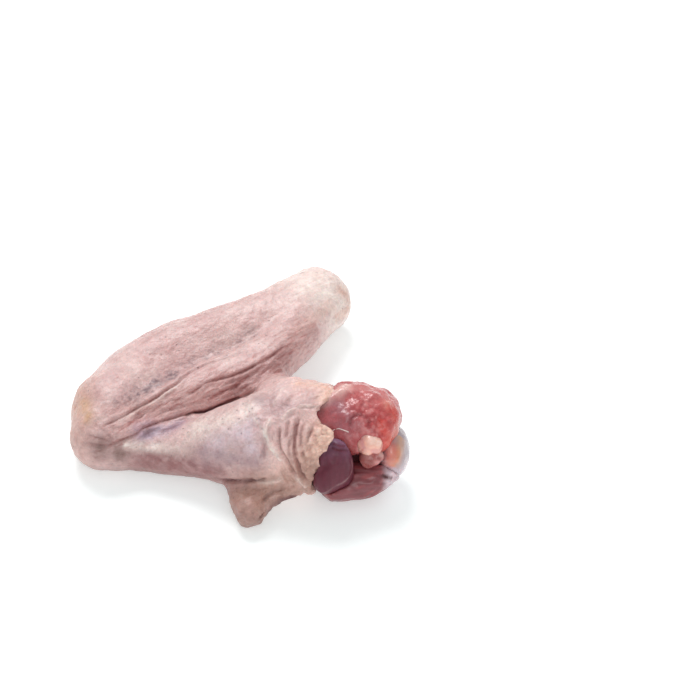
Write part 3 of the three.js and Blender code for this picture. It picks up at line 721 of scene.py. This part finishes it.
# Creases of the skin: mark, depth and width in millimetres, and shares of its length over which it fades.
CREASES = (
    ("second", 0.35, 0.45, 0.3, 0.2), ("third", 0.3, 0.45, 0.2, 0.2), ("line_a", 0.25, 0.4, 0.2, 0.2),
    ("line_b", 0.25, 0.4, 0.2, 0.2), ("line_c", 0.25, 0.4, 0.2, 0.2), ("line_d", 0.25, 0.4, 0.2, 0.2),
    ("line_e", 0.2, 0.45, 0.3, 0.3), ("line_f", 0.3, 0.45, 0.3, 0.3), ("fan_a", 0.35, 0.45, 0.4, 0.1),
    ("fan_b", 0.35, 0.45, 0.4, 0.1), ("fan_c", 0.3, 0.45, 0.4, 0.2), ("fan_d", 0.25, 0.45, 0.4, 0.1),
    ("fan_e", 0.25, 0.45, 0.2, 0.2), ("valley_a", 1.4, 0.6, 0.12, 0.12),
    ("valley_b", 1.2, 0.55, 0.12, 0.12), ("valley_c", 0.8, 0.5, 0.12, 0.12),
    ("valley_d", 0.7, 0.5, 0.12, 0.12), ("valley_e", 0.9, 0.6, 0.12, 0.12),
    ("valley_f", 0.7, 0.5, 0.12, 0.12), ("valley_g", 0.6, 0.5, 0.12, 0.12),
    ("top_line", 0.6, 0.5, 0.2, 0.2), ("arm_line", 1.0, 0.6, 0.12, 0.12),
    ("flap_fold", 0.6, 0.7, 0.2, 0.2),
)
# Raised folds of the skin: mark, height and width in millimetres.
RIDGES = (
    ("ridge_a", 1.3, 1.0), ("ridge_b", 1.0, 0.9), ("ridge_c", 0.9, 1.1), ("ridge_d", 1.4, 1.1),
    ("ridge_e", 0.8, 0.8), ("ridge_f", 0.5, 0.8), ("ridge_g", 0.5, 0.9), ("groove_lip", 0.25, 0.6),
)
RIDGE_FADE = (0.12, 0.12)
# Where creases cross, the skin goes no deeper than this, in millimetres.
DEEPEST = 1.5
# Paint on the skin, in order: mark, colour, width in millimetres, strength, and shares of its length over
# which it fades in and out. Strokes without them keep round ends.
FIRST_STROKES = (
    ("wrist", "cream", 9, 0.9), ("wrist_shade", "peach", 3, 0.3), ("wrist_edge", "peach", 2.4, 0.6),
    ("wrist_lines", "mauve", 1.0, 0.3, 0.2, 0.2), ("band", "mauve", 6.0, 0.7),
    ("band_low", "mauve", 3.2, 0.3), ("band_red", "flush", 3.4, 0.45), ("grey", "grey", 3.0, 0.15),
    ("grey_core", "grey", 1.6, 0.45), ("elbow_peach", "peach", 6, 0.6),
    # the elbow's ochre spot is its own colour; under the elbow is painted shade
    ("elbow_yellow", "ochre", 2.4, 0.6), ("elbow_under", "umber_shade", 4.6, 0.9, 0, 0.4),
    # the flush below the crest is partly painted shade
    ("flush", "flush", 5, 0.85, 0.15, 0.1), ("violet", "violet", 5, 0.75), ("glaze", "lilac", 4.5, 0.7),
    ("pale_patch", "lilac", 3, 0.8), ("web_pale", "cream", 4.5, 0.6), ("web_blue", "blue", 3.4, 0.8),
    ("web_blue", "grey", 1.2, 0.6, 0.15, 0.15), ("web_flush", "flush", 3, 0.35),
    # painted highlight: cream along the upper arm's crest
    ("crest_highlight", "cream", 1.8, 0.75, 0.04, 0.5),
)
# These go on after the shoulder's own colour. Among them are painted highlights along raised folds and
# painted shade along creases, valleys, the fold and under the flap.
LATER_STROKES = (
    ("shoulder_shade", "violet", 3.5, 0.4), ("skin_bottom", "tan", 5, 0.75),
    ("rim_fat", "rim_fat", 2.6, 0.8), ("rim_top", "rim_fat", 3, 0.6),
    # painted shade along the creases and valleys of the shoulder's loose skin and its top crease
    ("valley_a", "line", 0.7, 0.8, 0.12, 0.12), ("valley_b", "line", 0.6, 0.5, 0.12, 0.12),
    ("valley_c", "line", 0.5, 0.45, 0.12, 0.12), ("valley_d", "line", 0.6, 0.5, 0.12, 0.12),
    ("valley_e", "violet", 0.9, 0.6, 0.12, 0.12), ("valley_f", "line", 0.6, 0.45, 0.12, 0.12),
    ("valley_g", "line", 0.6, 0.4, 0.12, 0.12), ("top_line", "line", 0.6, 0.55, 0.2, 0.2),
    # painted highlights along the raised folds; the cream on the groove's lip further on is painted
    # highlight too
    ("ridge_a", "cream", 0.9, 0.85, 0.12, 0.12), ("ridge_b", "cream", 0.7, 0.5, 0.12, 0.12),
    ("ridge_c", "cream", 0.9, 0.45, 0.12, 0.12), ("ridge_d", "cream", 0.8, 0.6, 0.12, 0.12),
    ("ridge_e", "cream", 0.7, 0.5, 0.12, 0.12), ("ridge_f", "cream", 0.7, 0.4, 0.12, 0.12),
    # painted shade in the flap's fold, pit and underside and at its tip; the flap's tan is its own
    ("flap_mid", "tan", 7, 0.5), ("flap_fold", "umber_shade", 0.8, 0.5, 0.2, 0.2),
    ("flap_pit", "crease", 1.2, 0.6, 0.01, 0.01), ("flap_under", "crease", 2.2, 0.75),
    ("flap_tip", "umber_shade", 3, 0.35), ("groove_lip", "cream", 0.6, 0.6, 0.15, 0.15),
    # painted shade along the groove, the fine lines beside it and the fan of creases at the elbow
    ("groove", "line", 0.55, 0.7, 0.08, 0.35), ("second", "line", 0.55, 0.6, 0.3, 0.2),
    ("third", "line", 0.5, 0.6, 0.2, 0.2), ("line_a", "line", 0.45, 0.35, 0.2, 0.2),
    ("line_b", "line", 0.5, 0.4, 0.2, 0.2), ("line_c", "line", 0.45, 0.4, 0.2, 0.2),
    ("line_d", "line", 0.45, 0.4, 0.2, 0.2), ("line_e", "mauve", 0.5, 0.5, 0.3, 0.3),
    ("line_f", "line", 0.5, 0.5, 0.3, 0.3), ("fan_a", "line", 0.45, 0.3, 0.3, 0.1),
    ("fan_b", "line", 0.45, 0.35, 0.3, 0.1), ("fan_c", "line", 0.45, 0.3, 0.3, 0.2),
    ("fan_d", "line", 0.45, 0.25, 0.3, 0.1), ("fold", "mauve", 1.3, 0.4, 0.15, 0.05),
    # painted shade along the fold and where the flap comes out from under the arm
    ("fold", "line", 0.6, 0.7, 0.12, 0.02), ("fold_mouth", "crease", 0.9, 0.9, 0.1, 0.02),
    ("arm_line", "crease", 0.5, 0.8, 0.05, 0.2),
)


def inside_sleeve(form):
    """1 on the walls of the hollow that the meat fills and 0 on the skin's outside."""
    points = form.points
    normal = form.normals()
    reach = sleeve_place(points)[2]
    outward = normal[:, 1] * (points[:, 1] - ARM_AXIS[0]) + normal[:, 2] * (points[:, 2] - ARM_AXIS[1])
    facing_in = ramp(-outward / np.maximum(reach, 1), 0.05, 0.4)
    return facing_in * ramp(points[:, 0], 2, 6) * ramp(-reach, -17.5, -16)


def shift_rim(form):
    """Gives the skin's cut edge its uneven outline."""
    points = form.points
    back, around, reach = sleeve_place(points)
    angle, shift = np.array(RIM_SHIFT).T
    moved = np.interp(np.degrees(around), angle, shift)
    moved += 0.7 * noise(points * np.array([0, 1, 1]), 2.6, 17, 2)
    on_arm = ramp(-reach, -24, -20)
    share = np.clip(1 - back / 17, 0, 1) ** 1.5 * ramp(points[:, 0], 6, 14) * on_arm
    points[:, 0] += moved * np.where(back < 0, 1, share) * on_arm


def skin_zones(form):
    """Where the skin is a band, a sleeve, feathered, fatty or a flap, from 0 to 1."""
    points = form.base
    back, _, reach = sleeve_place(points)
    inner = inside_sleeve(form)
    band = bell(form.mark("band")[0], 6.5)
    sleeve = ramp(back, -4, -1) * ramp(-back, -25, -13) * ramp(points[:, 0], 0, 12) * ramp(-reach, -29, -23)
    plume = ramp(points[:, 2], 3, 9) * (1 - 0.9 * sleeve) * (1 - 0.7 * band)
    plume *= 0.35 + 0.65 * ramp(noise(points, 11, 41), -0.3, 0.5)
    fatty = np.maximum(bell(form.mark("pimples")[0], 4.2), bell(form.mark("rim_fat")[0], 2.4))
    fatty = np.maximum(fatty, 0.4 * ramp(-back, -6, -2) * ramp(-reach, -24, -20)) * (1 - inner)
    flap = ramp(-points[:, 1], 46, 50)
    return {"band": band, "sleeve": sleeve, "plume": plume, "fatty": fatty, "inner": inner, "flap": flap}


def fine_wrinkles(form, where):
    """Heights of the wrinkles of band, elbow, shoulder and wrist."""
    wrinkle = sizes().wrinkle_height / MM
    points = form.base
    length_way, cross = points @ FOREARM_WAY, points @ FOREARM_ACROSS
    stretched = np.stack([length_way / 5, cross + 0.8 * noise(points, 5, 3), points[:, 2]], 1)
    height = 1.1 * wrinkle * where["band"] * crumple(stretched, 1.6, 5)
    # folds round the shoulder
    back, around, reach = sleeve_place(points)
    tall = sizes().sleeve_fold / MM * where["sleeve"]
    rings = np.stack([back + 1.6 * noise(points, 6, 12, 2), around * 2.2, reach * 0.1], 1)
    height += tall * (0.35 * crumple(rings, 3.2, 14) + 0.25 * crumple(points, 1.9, 18))
    # the wrist's skin is crinkled across
    wrist = ramp(points[:, 1] + 0.4 * points[:, 0], 30, 42) * ramp(points[:, 2], 6, 12)
    across = np.stack([length_way + 0.9 * noise(points, 4, 31), cross / 3.2, points[:, 2] / 2], 1)
    height += 0.7 * wrinkle * wrist * crumple(across, 1.7, 33)
    # all the skin is a little crinkled
    height += 0.2 * wrinkle * crumple(points, 2.1, 21)
    return height + 0.35 * wrinkle * crumple(points * np.array([0.45, 1, 1]), 1.3, 24)


def skin_relief(form):
    """Folds, grooves, wrinkles, goose bumps and fat pimples."""
    s = sizes()
    where = skin_zones(form)
    outside = 1 - where["inner"]
    points = form.base
    # the skin swells beside the fold and is never quite even
    swell = 0.6 * form.near("band_low", 3.2) + 0.9 * form.near("fold", 2.6) + 0.28 * noise(points, 8, 1, 2)
    form.push(swell * outside)
    form.smooth(3)
    fold = form.near("fold", 0.75, 0.12, 0.05) + 0.6 * form.near("fold_mouth", 0.8, 0.1, 0.02)
    height = -s.fold_depth / MM * fold
    height += form.cut("groove", s.groove_depth / MM, 0.5, 0.1, 0.35)
    for name, depth, width, *fade in CREASES:
        height += form.cut(name, depth, width, *fade)
    for name, tall, width in RIDGES:
        height += tall * form.near(name, width, *RIDGE_FADE)
    height += fine_wrinkles(form, where)
    height += s.goose_bump / MM * where["plume"] * domes(points, 2.7, 0.75, 40)
    where["lumps"] = domes(points, 2.3, 1.15, 60) + 0.4 * domes(points, 1.4, 0.7, 64)
    height += s.pimple / MM * where["fatty"] * (where["lumps"] - 0.3)
    height += 0.5 * form.near("rim_fat", 1.8, 0.05, 0.05)
    height -= 1.3 * form.near("flap_pit", 1.2, 0.01, 0.01)
    height += 0.3 * where["flap"] * crumple(points * np.array([0.6, 1, 1]), 2.4, 71)
    form.push(np.maximum(height, -DEEPEST) * outside)
    form.smooth(1, 0.12)
    return where


def skin_paint(form, where):
    """Patches, veins and flushes of the skin, painted shade in its creases and low down, and painted
    highlights on its folds.
    """
    c = colours()
    points = form.base
    broad = noise(points, 9, 80, 3)
    tiny = noise(points, 1.1, 88, 2)
    form.prime(c.skin)
    form.lay(c.skin_pale, 0.4 * ramp(broad, 0, 0.8) + 0.3 * ramp(tiny, 0.2, 0.9))
    form.lay(c.skin_deep, 0.35 * ramp(-broad, 0, 0.8) + 0.25 * ramp(form.uneven, 0.1, 0.8))
    form.lay(c.cream, 0.6 * ramp(points[:, 1] + 0.5 * points[:, 0], 34, 60))
    form.lay(c.peach, 0.45 * ramp(-points[:, 0], 46, 60))
    for mark, paint, width, strength, *fade in FIRST_STROKES:
        form.stroke(mark, getattr(c, paint), width, strength, *fade)
    # the flush goes on down the upper arm's side to the table, and there it is also painted shade
    shaded_side = ramp(-points[:, 2], -13, -7) * ramp(-points[:, 1], 24, 30) * ramp(points[:, 0], -42, -36)
    form.lay(c.flush, 0.6 * shaded_side)
    vein = ramp(noise(points, 1.3, 90, 2), -0.1, 0.6)
    veined = 0.45 * form.near("grey", 2.6) + 0.7 * form.near("grey_core", 2.4)
    veined += 0.5 * form.near("web_blue", 2.6)
    form.lay(c.grey, vein * veined)
    sleeve = where["sleeve"]
    pinker_top = 1 - 0.6 * ramp(points[:, 2], 26, 33)
    form.lay(c.sleeve, 0.85 * sleeve * pinker_top * (1 + 0.2 * form.uneven))
    form.lay(c.lilac, 0.3 * sleeve * ramp(points[:, 2], 22, 32) * ramp(-points[:, 0], -24, -10))
    form.lay(c.rim_fat, 0.75 * where["fatty"] * (1 + 0.3 * tiny))
    # painted shade in the gaps between the fat lumps and painted highlight on their tops
    form.lay(c.line, 0.5 * where["fatty"] * ramp(-where["lumps"], -0.4, 0))
    form.lay(c.cream, 0.6 * where["fatty"] * ramp(where["lumps"], 0.5, 1.1))
    form.lay(c.tan, 0.75 * where["flap"] * (1 + 0.3 * form.uneven))
    for mark, paint, width, strength, *fade in LATER_STROKES:
        form.stroke(mark, getattr(c, paint), width, strength, *fade)
    # the inside of the skin: flesh darkened as painted shade
    form.lay(c.shaded_lining, where["inner"])
    # painted shade: the skin darkens towards the table
    form.lay(c.umber_shade, 0.5 * ramp(-points[:, 2], -8, -1))
    form.masks["plume"] = where["plume"]
    form.masks["lines"] = 0.3 + 0.7 * where["band"]


def build_skin():
    """The folded, wrinkled skin over forearm, elbow, upper arm and shoulder."""
    form = Form("skin", "wing_skin", sizes().skin_detail, 14)
    shift_rim(form)
    form.keep()
    where = skin_relief(form)
    skin_paint(form, where)
    form.finish(skin_material())


def build_red_muscle():
    """The large red muscle on top of the shoulder, granular and wet."""
    c = colours()
    lump = sizes().meat_lump / MM
    form = Form("upper_muscle", "red_shoulder_muscle", sizes().meat_detail, 8)
    points = form.base
    calm = 1 - 0.85 * form.near("red_left", 6)
    rim = form.near("red_rim", 2.4)
    grainy = form.near("red_grains", 7) * (1 - form.near("red_rim", 4)) * calm
    granules = domes(points, 1.7, 1.05, 103)
    height = 0.3 + 0.6 * lump * calm * crumple(points, 4.6, 101, 1)
    height += 0.5 * lump * grainy * granules + 0.15 * lump * crumple(points, 1.9, 107)
    height += 1.2 * form.near("red_film", 2.6) + 0.5 * lump * rim
    height += lump * form.near("red_lump", 2.8) + form.cut("lump_ring", 0.45, 0.6, 0.2, 0.2)
    form.push(height)
    form.smooth(1, 0.2)
    form.prime(c.red_meat)
    # painted highlight on the grains' tops and painted shade between them; the paler patches from the
    # unevenness are the meat's own
    form.lay(c.red_pale, 0.6 * grainy * ramp(granules, 0.3, 0.9) + 0.3 * ramp(form.uneven, 0, 0.8))
    form.lay(c.dark_meat, 0.3 * grainy * ramp(-granules, -0.25, 0))
    form.stroke("red_top", c.red_pale, 4, 0.5)
    form.stroke("red_left", c.red_purple, 6, 0.85)
    form.stroke("red_film", c.sleeve, 2.2, 0.75)
    # painted shade in the groove round the lump
    form.stroke("lump_ring", c.dark_meat, 0.6, 0.4, 0.2, 0.2)
    form.stroke("red_deep", c.red_rim, 2.4, 0.5)
    form.lay(c.red_rim, 0.6 * rim)
    form.lay(c.peach, 0.3 * rim * (1 + 0.6 * form.uneven))
    # painted shade: darker towards the bottom, where the muscle goes down into the hollow
    form.lay(c.dark_meat, 0.5 * ramp(-points[:, 2], -18, -11))
    form.finish(meat_material("wet_red_meat", wet=0.28, lumps=0.7, streaks=0.3, gloss=0.3))


def build_dark_muscle():
    """The smooth purple muscle in front, with bands across its neck."""
    c = colours()
    form = Form("dark_muscle", "purple_shoulder_muscle", sizes().meat_detail, 40)
    points = form.base
    bands = np.maximum(form.near("neck_low", 0.5), form.near("neck_high", 0.5))
    fibres = noise(points * np.array([1, 1, 0.2]), 1.2, 120, 2)
    form.push(0.3 + 0.06 * fibres - 0.3 * bands + 2.0 * form.near("dent", 3.4))
    form.prime(c.dark_meat)
    form.lay(c.dark_pale, 0.8 * form.near("neck", 4.2) + 0.15)
    form.lay(c.dark_meat, 0.75 * bands)
    form.stroke("film", c.film, 0.45, 0.35, 0.05, 0.05, 0.6)
    material = meat_material(
        "purple_meat", stretch=(1, 1, 0.18), wet=0.05, lumps=0.0, streaks=0.4, rough=(0.3, 0.42), gloss=0.2
    )
    form.finish(material)


def build_lower_muscle():
    """The brownish muscle below, its fibres running to the bone's end."""
    c = colours()
    form = Form("lower_muscle", "brown_shoulder_muscle", sizes().meat_detail, 10)
    points = form.base
    along_fibre = points * np.array([0.14, 0.9, 0.9]) + points[:, :1] * np.array([0, 0.2, -0.25])
    form.push(0.25 + 0.15 * noise(along_fibre, 1.3, 130, 2))
    form.prime(c.brown_meat)
    form.lay(c.red_meat, 0.35 * ramp(noise(along_fibre, 1.6, 134, 2), 0, 0.8))
    # painted shade: darker at its top, where it meets the hollow under the other muscles
    form.lay(c.shaded_flesh, 0.5 * ramp(points[:, 2], 15, 19))
    form.lay(c.lilac, 0.8 * ramp(points[:, 0], 49.5, 52.5))
    # painted shade in the crevice where the bone's lobes begin
    form.stroke("low_split", c.shaded_flesh, 0.8, 0.85, 0.1, 0.1)
    material = meat_material(
        "brown_meat", (0.16, 1, 1), math.radians(-8), wet=0.3, lumps=0.1, streaks=0.7, rough=(0.28, 0.42)
    )
    form.finish(material)


def build_back_muscle():
    """The dark strip of muscle under the bone's end."""
    c = colours()
    form = Form("back_muscle", "back_shoulder_muscle", sizes().meat_detail, 10)
    points = form.base
    form.push(0.2 * noise(points * np.array([0.3, 1, 1]), 1.8, 140, 2))
    form.prime(c.dark_meat)
    # painted sheen: pale bluish patches towards the bone's end
    form.lay(c.bone, 0.35 * ramp(noise(points, 2.4, 144, 2), 0.25, 0.9) * ramp(points[:, 0], 42, 50))
    material = meat_material("back_meat", stretch=(0.2, 1, 1), wet=0.5, lumps=0.2, streaks=0.5)
    form.finish(material)


def build_bone():
    """The upper arm bone: bluish cartilage at its end, a yellow edge behind it."""
    c = colours()
    form = Form("humerus", "upper_arm_bone", sizes().meat_detail, 10)
    points = form.base
    height = 0.16 * noise(points, 3.2, 150, 2) + 0.9 * form.near("bone_lobe", 2.2)
    form.push(height - 0.5 * form.near("bone_split", 0.8, 0.1, 0.1))
    form.prime(c.bone)
    form.stroke("bone_edge", c.bone_yellow, 1.9, 0.9, 0.05, 0.05)
    form.stroke("bone_lobe", c.red_rim, 2.4, 0.75)
    form.stroke("bone_lobe", c.peach, 1.6, 0.4)
    form.lay(c.lilac, 0.5 * ramp(-points[:, 2], -15, -12))
    # painted shade in the crevice between the lobes, and on the shaft dark red flesh with painted shade in
    # the hollow behind the end
    form.stroke("bone_split", c.shaded_flesh, 0.9, 0.85, 0.1, 0.1)
    form.lay(c.shaded_flesh, 0.95 * ramp(-points[:, 0], -52, -49.5))
    form.finish(soft_material("wet_cartilage", 0.06, (0.12, 0.3)))


def build_fat(node, name, paint):
    """A lump of fat on the meat."""
    form = Form(node, name, sizes().meat_detail * 0.8, 24)
    form.round_off(110)
    form.keep()
    points = form.base
    lobes = domes(points, 3.4, 2.3, 160)
    form.push(1.2 + 0.7 * lobes + 0.2 * crumple(points, 2.2, 162))
    form.smooth(2, 0.3)
    form.prime(paint)
    # pale red between the lobes, painted shade on the cream lump, and cream on the lobes' tops, painted
    # highlight
    form.lay(colours().red_pale, 0.7 * ramp(-lobes, -0.5, 0) + 0.35 * ramp(form.uneven, 0, 0.8))
    form.lay(colours().cream, 0.35 * ramp(lobes, 0.6, 1))
    form.finish(soft_material(name + "_wax", 0.07, (0.22, 0.4)))


def build_thread():
    """The white thread of tendon that ties the skin's edge to the meat."""
    trees = []
    for name in ("upper_muscle", "dark_muscle", "skin"):
        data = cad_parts[name].data
        faces = [tuple(face.vertices) for face in data.polygons]
        trees.append(BVHTree.FromPolygons([vertex.co for vertex in data.vertices], faces))
    width = sizes().thread
    line = bpy.data.curves.new("tendon_thread", "CURVE")
    line.dimensions = "3D"
    line.bevel_depth = width / 2
    line.use_fill_caps = True
    places = []
    for u, v in MARKS["thread"]:
        hits = [tree.ray_cast(EYE, photo_ray(u, v)) for tree in trees]
        nearest = min((hit for hit in hits if hit[0] is not None), key=lambda hit: hit[3])
        places.append(nearest[0] + nearest[1] * width)
    spline = line.splines.new("POLY")
    smooth = curve([np.array(p) / MM for p in places], 0.4) * MM
    spline.points.add(len(smooth) - 1)
    for i, (point, place) in enumerate(zip(spline.points, smooth)):
        point.co = (*place, 1)
        middle = 1 - abs(2 * i / (len(smooth) - 1) - 1)
        point.radius = 1 - 0.45 * middle
    obj = bpy.data.objects.new("tendon_thread", line)
    bpy.context.scene.collection.objects.link(obj)
    material, tree, shader = start_material("tendon_white")
    white = blend_colour(tree, grain(tree, 900), (*colours().film[:], 1), (*colours().cream[:], 1))
    fine = grain(tree, 1500)
    dress(tree, shader, white, spread(tree, fine, 0.3, 0.7, 0.2, 0.35), fine, 0.3, 0.0002)
    glow(shader, 0.3, (1.0, 0.7, 0.6), 0.0012, 0.5, 0.1)
    line.materials.append(material)
    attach(obj, "root")


# The stage, in metres. The floor glows a little, which keeps the shadows as pale as the photo's.
FLOOR = {"half": 3.0, "colour": (0.9, 0.92, 0.92, 1), "glow_colour": (0.9, 1, 1, 1), "glow": 0.36}
ROOM_LIGHT = 0.5
# Each lamp's name, place, width and depth, and its power in watts. They all point at the wing.
LIT = (0, 0, 0.015)
LAMPS = (("key", (-0.12, 0.42, 0.62), 0.4, 0.28, 3.6), ("front", (0.2, -0.7, 0.5), 0.5, 0.4, 1.35))


def look_from(place, target):
    """The turn of a lamp or camera at place that looks at target."""
    return (Vector(target) - Vector(place)).to_track_quat("-Z", "Y").to_euler()


def softbox(name, place, width, depth, power):
    """A square lamp that lights the wing evenly."""
    lamp = bpy.data.lights.new(name, "AREA")
    lamp.shape = "RECTANGLE"
    lamp.size = width
    lamp.size_y = depth
    lamp.energy = power
    obj = bpy.data.objects.new(name, lamp)
    obj.location = place
    obj.rotation_euler = look_from(place, LIT)
    bpy.context.scene.collection.objects.link(obj)


def build_stage():
    """Pale floor, soft light and the camera."""
    scene = bpy.context.scene
    mesh = bpy.data.meshes.new("floor")
    half = FLOOR["half"]
    corners = [(-half, -half, 0), (half, -half, 0), (half, half, 0), (-half, half, 0)]
    mesh.from_pydata(corners, [], [(0, 1, 2, 3)])
    floor = bpy.data.objects.new("floor", mesh)
    scene.collection.objects.link(floor)
    material, _, shader = start_material("pale_floor")
    shader.inputs["Base Color"].default_value = FLOOR["colour"]
    shader.inputs["Emission Color"].default_value = FLOOR["glow_colour"]
    shader.inputs["Emission Strength"].default_value = FLOOR["glow"]
    shader.inputs["Roughness"].default_value = 0.9
    shader.inputs["Specular IOR Level"].default_value = 0.1
    mesh.materials.append(material)
    world = bpy.data.worlds.new("soft_room")
    world.use_nodes = True
    world.node_tree.nodes["Background"].inputs["Color"].default_value = (1, 1, 1, 1)
    world.node_tree.nodes["Background"].inputs["Strength"].default_value = ROOM_LIGHT
    scene.world = world
    for lamp in LAMPS:
        softbox(*lamp)
    scene.view_settings.view_transform = "Standard"
    camera = bpy.data.objects.new("camera", bpy.data.cameras.new("camera"))
    scene.collection.objects.link(camera)
    camera.data.sensor_width = PHOTO["sensor"]
    camera.data.lens = PHOTO["lens"]
    camera.location = EYE
    camera.rotation_euler = look_from(EYE, LOOKED_AT)
    scene.camera = camera


class WING_OT_stage(Operator):
    """Adds the floor, the light and the camera"""

    bl_idname = "duck_wing.stage"
    bl_label = "Stage"

    def execute(self, context):
        build_stage()
        return {"FINISHED"}


class WING_OT_skin(Operator):
    """Adds the folded skin"""

    bl_idname = "duck_wing.skin"
    bl_label = "Skin"

    def execute(self, context):
        build_skin()
        return {"FINISHED"}


class WING_OT_red_muscle(Operator):
    """Adds the red shoulder muscle"""

    bl_idname = "duck_wing.red_muscle"
    bl_label = "Red muscle"

    def execute(self, context):
        build_red_muscle()
        return {"FINISHED"}


class WING_OT_dark_muscle(Operator):
    """Adds the purple shoulder muscle"""

    bl_idname = "duck_wing.dark_muscle"
    bl_label = "Purple muscle"

    def execute(self, context):
        build_dark_muscle()
        return {"FINISHED"}


class WING_OT_lower_muscles(Operator):
    """Adds the brown muscle and the dark strip behind it"""

    bl_idname = "duck_wing.lower_muscles"
    bl_label = "Lower muscles"

    def execute(self, context):
        build_lower_muscle()
        build_back_muscle()
        return {"FINISHED"}


class WING_OT_bone(Operator):
    """Adds the upper arm bone"""

    bl_idname = "duck_wing.bone"
    bl_label = "Bone"

    def execute(self, context):
        build_bone()
        return {"FINISHED"}


class WING_OT_fat(Operator):
    """Adds the cream and the pink lump of fat"""

    bl_idname = "duck_wing.fat"
    bl_label = "Fat"

    def execute(self, context):
        build_fat("cream_fat", "cream_fat_lump", colours().fat)
        build_fat("pink_fat", "pink_fat_lump", colours().pink_fat)
        return {"FINISHED"}


class WING_OT_thread(Operator):
    """Adds the white thread of tendon"""

    bl_idname = "duck_wing.thread"
    bl_label = "Tendon thread"

    def execute(self, context):
        build_thread()
        return {"FINISHED"}


STEPS = (
    WING_OT_stage, WING_OT_skin, WING_OT_red_muscle, WING_OT_dark_muscle, WING_OT_lower_muscles,
    WING_OT_bone, WING_OT_fat, WING_OT_thread,
)


class WING_PT_panel(Panel):
    """Lists the sizes, the colours and the steps."""

    bl_label = "Duck wing"
    bl_space_type = "VIEW_3D"
    bl_region_type = "UI"
    bl_category = "Duck wing"

    def draw(self, context):
        for group in (context.scene.wing_sizes, context.scene.wing_colours):
            for name in group.__annotations__:
                self.layout.prop(group, name)
        for made in STEPS:
            self.layout.operator(made.bl_idname)


CLASSES = (WingSizes, WingColours, *STEPS, WING_PT_panel)


def register():
    """Adds the panel, the operators and their settings to Blender."""
    for made in CLASSES:
        bpy.utils.register_class(made)
    bpy.types.Scene.wing_sizes = PointerProperty(type=WingSizes)
    bpy.types.Scene.wing_colours = PointerProperty(type=WingColours)


def unregister():
    """Takes them out again."""
    del bpy.types.Scene.wing_colours
    del bpy.types.Scene.wing_sizes
    for made in reversed(CLASSES):
        bpy.utils.unregister_class(made)


def main():
    """Builds the wing."""
    register()
    for made in STEPS:
        getattr(bpy.ops.duck_wing, made.bl_idname.split(".")[1])()


if __name__ == "__main__":
    main()
